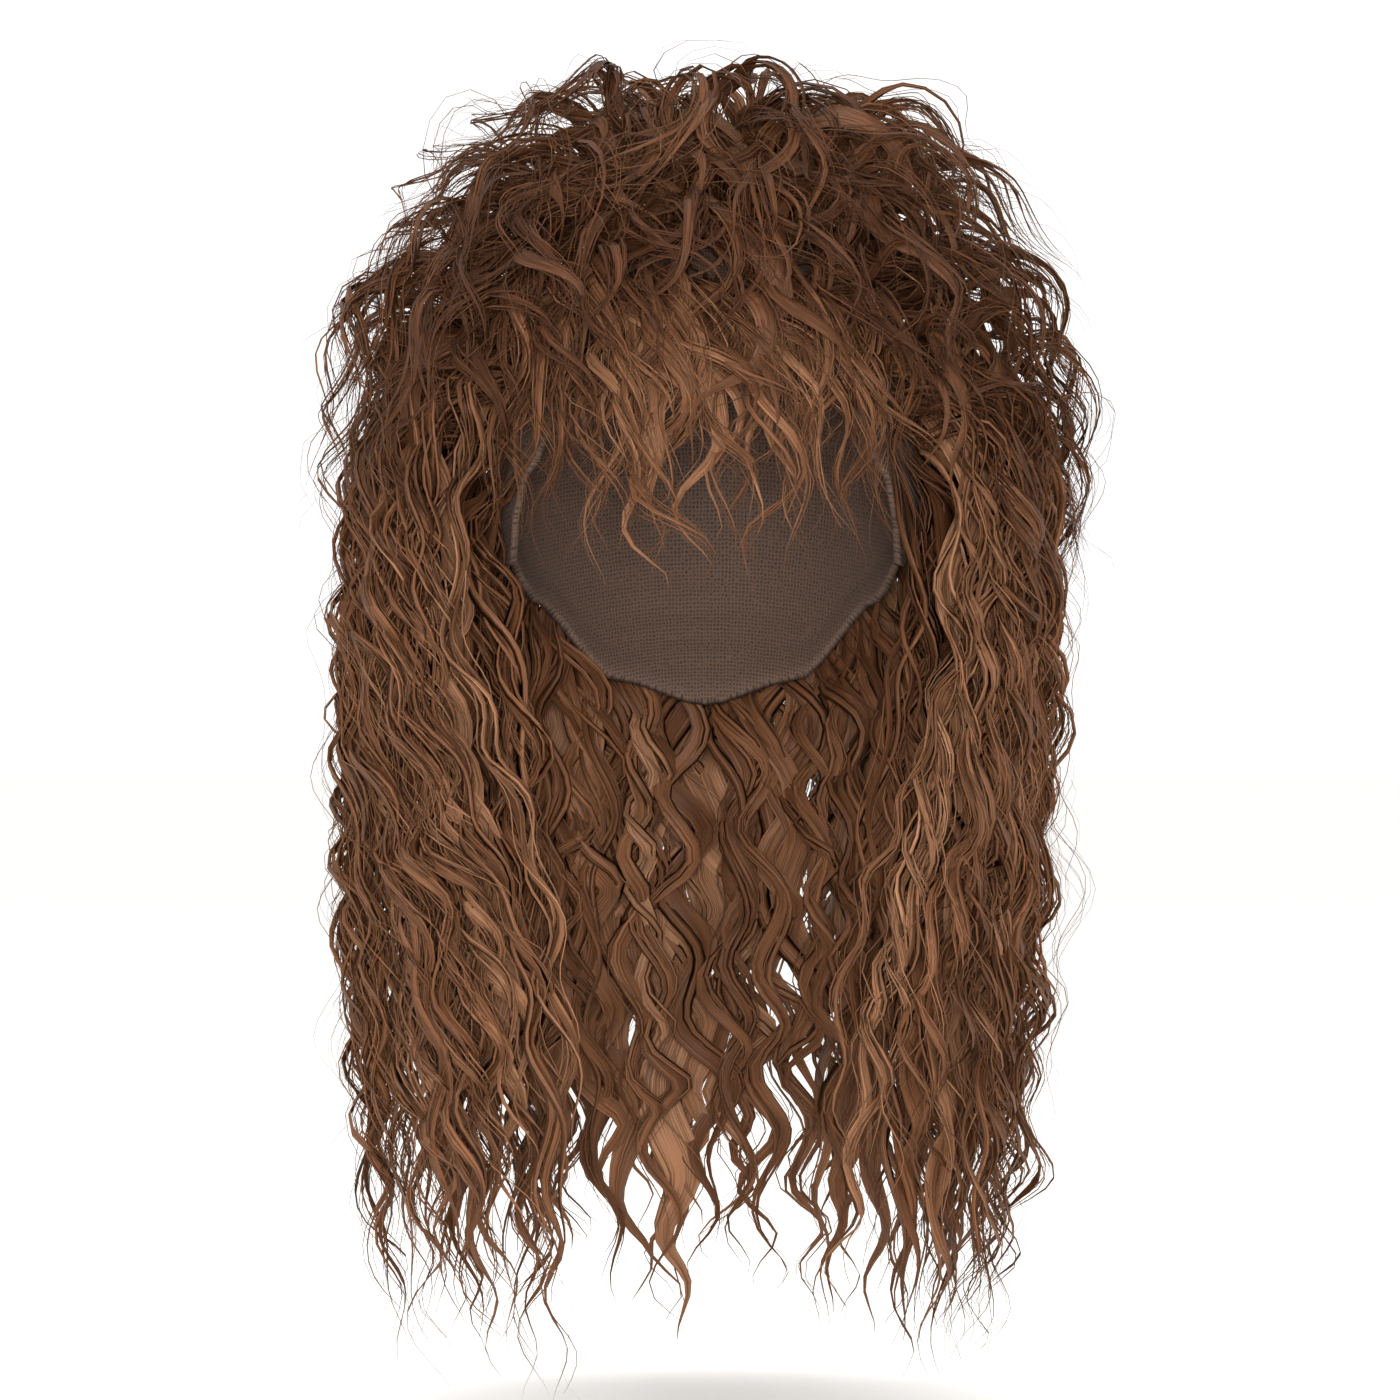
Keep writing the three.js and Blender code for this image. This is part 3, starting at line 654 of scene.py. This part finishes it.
# Curled modacrylic fibre, drawn and crimped by heat: a satin gloss broken up by the single fibres, painted
# shade at the root, and each wisp a little lighter or darker than the next. The UV map is a palette: U is the
# wisp's tone and counts its fibres, V runs from root to tip.
fibreLook = {
    "roughness": 0.52,
    "ior": 1.54,  # modacrylic
    "specular": 0.08,
    "tones": ((0.0, "#351c0d"), (0.3, "#5e3e29"), (0.6, "#87634a"), (1.0, "#b8957b")),
    "shades": ((0.0, "#bfb2a8"), (0.3, "#fcfaf8"), (0.6, "#fcfaf8"), (1.0, "#efe8e2")),  # times the tone: painted shade darkens the root, and the tip is a little darker
    "fibre": 0.55,  # mm on a lock's core, several times coarser than real fibre, which is too fine to show
    "fibreRuns": 7,  # changes of a fibre from root to tip
    "fibreDetail": 2.0,
    "fibreGrain": 0.65,
    "fibreNoise": (0.42, 0.58),  # from the darkest fibre to the lightest
    "fibreShade": (0.55, 1.42),  # times the tone, for those two
    "fibreRelief": 0.3,  # mm
    "reliefStrength": 0.7,
}


def makeFibre(name):
    material, tree, shader = newMaterial(name)
    coreWidth = 2 * curl["spread"] * strandSettings["Core Share"]
    fibres = coreWidth / fibreLook["fibre"] / (layerStyles["locks"]["girth"] / 2)  # across the whole palette
    palette = addNode(tree, "ShaderNodeUVMap", uv_map="OFBake").outputs["UV"]
    axes = addNode(tree, "ShaderNodeSeparateXYZ", palette).outputs
    stretched = addNode(tree, "ShaderNodeVectorMath", palette, (fibres, fibreLook["fibreRuns"], 0.0),
                        operation="MULTIPLY")
    noise = addNode(tree, "ShaderNodeTexNoise", {
        "Vector": stretched.outputs[0], "Scale": 1.0, "Detail": fibreLook["fibreDetail"],
        "Roughness": fibreLook["fibreGrain"]}, noise_dimensions="2D").outputs["Fac"]
    shade = addNode(tree, "ShaderNodeMapRange", {
        "Value": noise, "From Min": fibreLook["fibreNoise"][0], "From Max": fibreLook["fibreNoise"][1],
        "To Min": fibreLook["fibreShade"][0], "To Max": fibreLook["fibreShade"][1]})
    # tone across the palette, times the painted shade from root to tip and the single fibres
    colours = []
    for axis, stops in (("X", fibreLook["tones"]), ("Y", fibreLook["shades"])):
        ramp = addNode(tree, "ShaderNodeValToRGB", {"Fac": axes[axis]})
        elements = ramp.color_ramp.elements
        while len(elements) < len(stops):
            elements.new(0.5)  # placed below
        for element, (place, hexCode) in zip(elements, stops):
            element.position = place
            element.color = linearColour(hexCode)
        colours.append(ramp.outputs["Color"])
    colour = colours[0]
    for other in (colours[1], shade.outputs["Result"]):
        colour = addNode(tree, "ShaderNodeMix", {"Factor": 1.0, 6: colour, 7: other},
                         data_type="RGBA", blend_type="MULTIPLY").outputs[2]
    relief = addNode(tree, "ShaderNodeBump", {
        "Height": noise, "Strength": fibreLook["reliefStrength"], "Distance": fibreLook["fibreRelief"] * mm})
    tree.links.new(colour, shader.inputs["Base Color"])
    tree.links.new(relief.outputs["Normal"], shader.inputs["Normal"])
    shader.inputs["Roughness"].default_value = fibreLook["roughness"]
    shader.inputs["IOR"].default_value = fibreLook["ior"]
    shader.inputs["Specular IOR Level"].default_value = fibreLook["specular"]
    return material


# Knitted stretch net: matt and dark, a fine mesh that the light sinks into, with the sewn tracks as low ribs
# inside.
capLook = {
    "azimuths": 64,
    "levels": 72,
    "poleLevel": 0.02,  # a small flat face closes the crown
    "seatGap": 0.5,  # mm under the roots of the hair
    "wall": 2.0,  # mm
    "track": 13,  # mm from one sewn track to the next
    "trackRise": 0.7,  # mm
    "trackPower": 3,  # narrows the track
    "band": 11,  # mm, the elastic along the edge
    "bandEdge": 2,  # mm
    "bandRise": 0.7,  # mm
    "colour": "#4c372a",
    "holeColour": "#281b13",
    "mesh": 1.6,  # mm, coarser than the real net so that it shows
    "meshScatter": 0.35,
    "thread": (0.1, 0.3),  # from thread to hole, as a share of the mesh
    "meshRelief": 0.3,  # mm
    "reliefStrength": 0.6,
    "flatRadius": 85,  # mm, the radius at which the net is laid flat for its map
    "roughness": 0.85,
}


def makeCapMaterial():
    material, tree, shader = newMaterial("knittedStretchNet")
    weave = addNode(tree, "ShaderNodeUVMap", uv_map="weave").outputs["UV"]
    cells = addNode(tree, "ShaderNodeTexVoronoi", {
        "Vector": weave, "Scale": 1000 / capLook["mesh"], "Randomness": capLook["meshScatter"],
    }, feature="DISTANCE_TO_EDGE")
    thread, hole = capLook["thread"]
    threads = addNode(tree, "ShaderNodeMapRange", {
        "Value": cells.outputs["Distance"], "From Min": thread, "From Max": hole,
        "To Min": 1.0, "To Max": 0.0}).outputs["Result"]
    colour = addNode(tree, "ShaderNodeMix", {
        "Factor": threads, 6: linearColour(capLook["holeColour"]), 7: linearColour(capLook["colour"]),
    }, data_type="RGBA")
    relief = addNode(tree, "ShaderNodeBump", {
        "Height": threads, "Strength": capLook["reliefStrength"], "Distance": capLook["meshRelief"] * mm})
    tree.links.new(colour.outputs[2], shader.inputs["Base Color"])
    tree.links.new(relief.outputs["Normal"], shader.inputs["Normal"])
    shader.inputs["Roughness"].default_value = capLook["roughness"]
    return material


def makeCap():
    count, steps = capLook["azimuths"], capLook["levels"]
    azimuth = 360 * np.arange(count) / count - 180
    level = capEdge(azimuth)[:, None] * np.linspace(0, 1, steps + 1)[None, :]
    level[:, 0] = capLook["poleLevel"]
    surface = hairPoint(azimuth[:, None], level, 0)
    distance = np.linalg.norm(surface, axis=2)
    legs = np.linalg.norm(np.diff(surface, axis=1), axis=2)
    run = np.concatenate((np.zeros((count, 1)), np.cumsum(legs, axis=1)), axis=1)
    toEdge = run[:, -1:] - run
    ribs = np.maximum(0, np.cos(2 * math.pi * run / (capLook["track"] * mm))) ** capLook["trackPower"]
    band = 1 - smoothstep(toEdge, (capLook["band"] - capLook["bandEdge"]) * mm, capLook["band"] * mm)
    bulge = ribs * capLook["trackRise"] * (1 - band) + band * capLook["bandRise"]

    def inset(depth):
        return surface * (1 - depth * mm / distance)[..., None]

    outside = inset(np.full_like(run, capLook["seatGap"]))
    inside = inset(capLook["seatGap"] + capLook["wall"] + bulge)
    points = np.concatenate((outside.reshape(-1, 3), inside.reshape(-1, 3)))
    width = steps + 1
    offset = count * width
    faces = []
    for i in range(count):
        j = (i + 1) % count
        for k in range(steps):
            a, b, c, d = i * width + k, i * width + k + 1, j * width + k + 1, j * width + k
            faces.append((a, b, c, d))
            faces.append((a + offset, d + offset, c + offset, b + offset))
        low, nextLow = i * width + steps, j * width + steps
        faces.append((low, low + offset, nextLow + offset, nextLow))
    faces.append([i * width for i in range(count)])
    faces.append([i * width + offset for i in reversed(range(count))])
    mesh = bpy.data.meshes.new("capNet")
    mesh.from_pydata(points.tolist(), [], faces)

    # the net's map in metres: round the cap, and down from the crown
    girth = math.radians(360) * capLook["flatRadius"] * mm
    around = np.radians(azimuth)[:, None] * capLook["flatRadius"] * mm * np.ones_like(run)
    flat = np.tile(np.stack((around, run), -1).reshape(-1, 2), (2, 1))
    corners = np.zeros(len(mesh.loops), int)
    mesh.loops.foreach_get("vertex_index", corners)
    flat = flat[corners]
    for polygon in mesh.polygons:  # the last strip of faces closes the ring
        around = flat[polygon.loop_start:polygon.loop_start + polygon.loop_total, 0]
        if np.ptp(around) > girth / 2:
            around[around < 0] += girth
    mesh.uv_layers.new(name="weave").data.foreach_set("uv", flat.ravel())
    mesh.polygons.foreach_set("use_smooth", np.ones(len(mesh.polygons), bool))
    mesh.materials.append(makeCapMaterial())
    return settle(linkObject("capNet", mesh), "wig_cap")


fibre = makeFibre("curledModacrylicFibre")
strandTree = buildStrandTree()
totalTriangles = makeCap()
for row in rows:
    totalTriangles += growRow({**rowDefaults, **row}, strandTree, fibre)
print("in all", totalTriangles, "triangles")


# plain pale floor under the hanging tips
floorSettings = {"size": 30.0, "drop": 14 * mm, "colour": "#f4f2ef", "roughness": 0.8}


def makeFloor():
    low = cadBox[0].z - floorSettings["drop"]
    half = floorSettings["size"] / 2
    corners = [(-half, -half, low), (half, -half, low), (half, half, low), (-half, half, low)]
    mesh = bpy.data.meshes.new("floor")
    mesh.from_pydata(corners, [], [(0, 1, 2, 3)])
    floor = linkObject("floor", mesh)
    material, _, shader = newMaterial("paleFloor")
    shader.inputs["Base Color"].default_value = linearColour(floorSettings["colour"])
    shader.inputs["Roughness"].default_value = floorSettings["roughness"]
    mesh.materials.append(material)


# soft studio light: a softbox in front, one to each side, one above, and white light from all round
lightSettings = {
    "allRound": 1.12,
    "softboxes": (  # place and size in metres, power in watts
        ("softboxFront", (0.0, -2.5, 0.0), 0.5, 86),
        ("softboxLeft", (-1.6, -1.3, 0.6), 1.1, 16),
        ("softboxRight", (1.6, -1.3, 0.6), 1.1, 14),
        ("softboxTop", (0.0, 0.3, 1.7), 1.2, 10),
    ),
}


def makeLights():
    for name, place, size, power in lightSettings["softboxes"]:
        data = bpy.data.lights.new(name, "AREA")
        data.shape = "DISK"
        data.size = size
        data.energy = power
        lamp = linkObject(name, data)
        lamp.location = place
        aim = -lamp.location
        lamp.rotation_euler = aim.to_track_quat("-Z", "Y").to_euler()
    world = bpy.data.worlds.new("whiteAllRound")
    bpy.context.scene.world = world
    world.use_nodes = True
    background = world.node_tree.nodes["Background"]
    background.inputs["Color"].default_value = (1.0, 1.0, 1.0, 1.0)
    background.inputs["Strength"].default_value = lightSettings["allRound"]
    bpy.context.scene.view_settings.view_transform = "Standard"


# the photograph's view: level, straight at the front; metres, and the sensor in mm
cameraSettings = {
    "distance": 1.9, "frame": 0.504, "centre": (-0.002, -0.0756), "sensor": 36.0, "clip": (0.05, 60),
}


def makeCamera():
    data = bpy.data.cameras.new("camera")
    data.sensor_width = cameraSettings["sensor"]
    data.lens = cameraSettings["sensor"] * cameraSettings["distance"] / cameraSettings["frame"]
    data.clip_start, data.clip_end = cameraSettings["clip"]
    camera = linkObject("camera", data)
    camera.location = (cameraSettings["centre"][0], -cameraSettings["distance"], cameraSettings["centre"][1])
    camera.rotation_euler = (math.radians(90), 0, 0)
    bpy.context.scene.camera = camera


makeFloor()
makeLights()
makeCamera()
print("floor, lights and camera placed")
